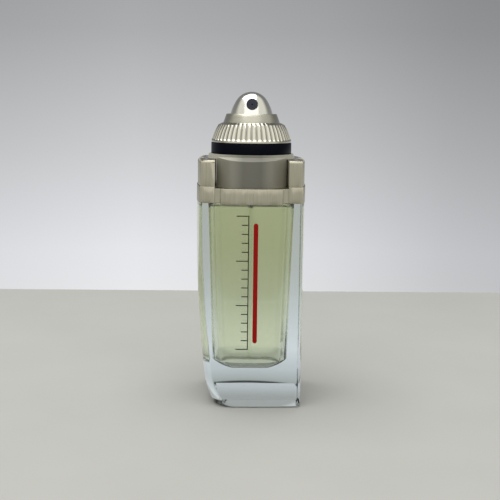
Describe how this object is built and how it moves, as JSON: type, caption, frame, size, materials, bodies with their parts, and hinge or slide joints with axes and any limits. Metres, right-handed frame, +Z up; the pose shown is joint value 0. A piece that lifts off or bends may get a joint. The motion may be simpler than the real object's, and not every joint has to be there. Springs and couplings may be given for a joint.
{
  "type": "aftershave bottle",
  "caption": "Clear glass aftershave flacon with a metal frame, dark lacquered ring, fluted twist crown and a bullet-shaped press-down spray button.",
  "frame": {"origin": "bottom centre, on the table under the spray button", "axes": "+Z up along the pump, -Y out of the front face where the spray opening points, +X to the right seen from the front"},
  "size_m": [0.0494, 0.0484, 0.1414],
  "materials": {
    "clear_glass": "polished clear flint glass",
    "fragrance": "clear yellow-green liquid",
    "frame_metal": "fine brushed, warm grey",
    "collar_metal": "satin, warm grey",
    "crown_metal": "satin, bright",
    "button_metal": "satin, bright",
    "dark_lacquer": "gloss blue-black lacquer",
    "steel": "drawn wire and ground pins",
    "pump_aluminium": "bright crimped shell",
    "black_rubber": "matte",
    "white_plastic": "moulded",
    "clear_plastic": "translucent extruded",
    "dark_plastic": "moulded, dark blue",
    "black_ink": "screen-printed",
    "red_ink": "screen-printed"
  },
  "bodies": {
    "bottle": {"glass_bottle": "clear_glass", "fragrance_fill": "fragrance", "trim_band": "frame_metal", "cheek_left": "frame_metal", "cheek_right": "frame_metal", "cheek_dowels": "steel", "collar": "collar_metal", "lacquered_ring": "dark_lacquer", "inner_carrier": "white_plastic", "crimp_ferrule": "pump_aluminium", "neck_gasket": "black_rubber", "pump_housing": "white_plastic", "pump_closure": "white_plastic", "check_ball": "steel", "dip_tube": "clear_plastic", "pump_spring": "steel", "retaining_ring": "steel", "printed_scale": "black_ink", "printed_bar": "red_ink"},
    "crown": {"crown_liner": "white_plastic", "fluted_crown": "crown_metal", "cone_ring": "collar_metal"},
    "button": {"spray_button": "button_metal", "actuator_core": "white_plastic", "nozzle_insert": "dark_plastic", "pump_stem": "white_plastic", "pump_piston": "clear_plastic"}
  },
  "joints": [
    {"name": "crown_twist", "type": "hinge", "parent": "bottle", "child": "crown", "pos_m": [0, 0, 0.12], "axis": [0, 0, 1], "range_deg": [0, 60]},
    {"name": "button_press", "type": "slide", "parent": "bottle", "child": "button", "axis": [0, 0, -1], "range_m": [0, 0.0026], "stiffness_N_per_m": 1000, "springref_m": -0.001, "deforming": ["pump_spring"]}
  ]
}
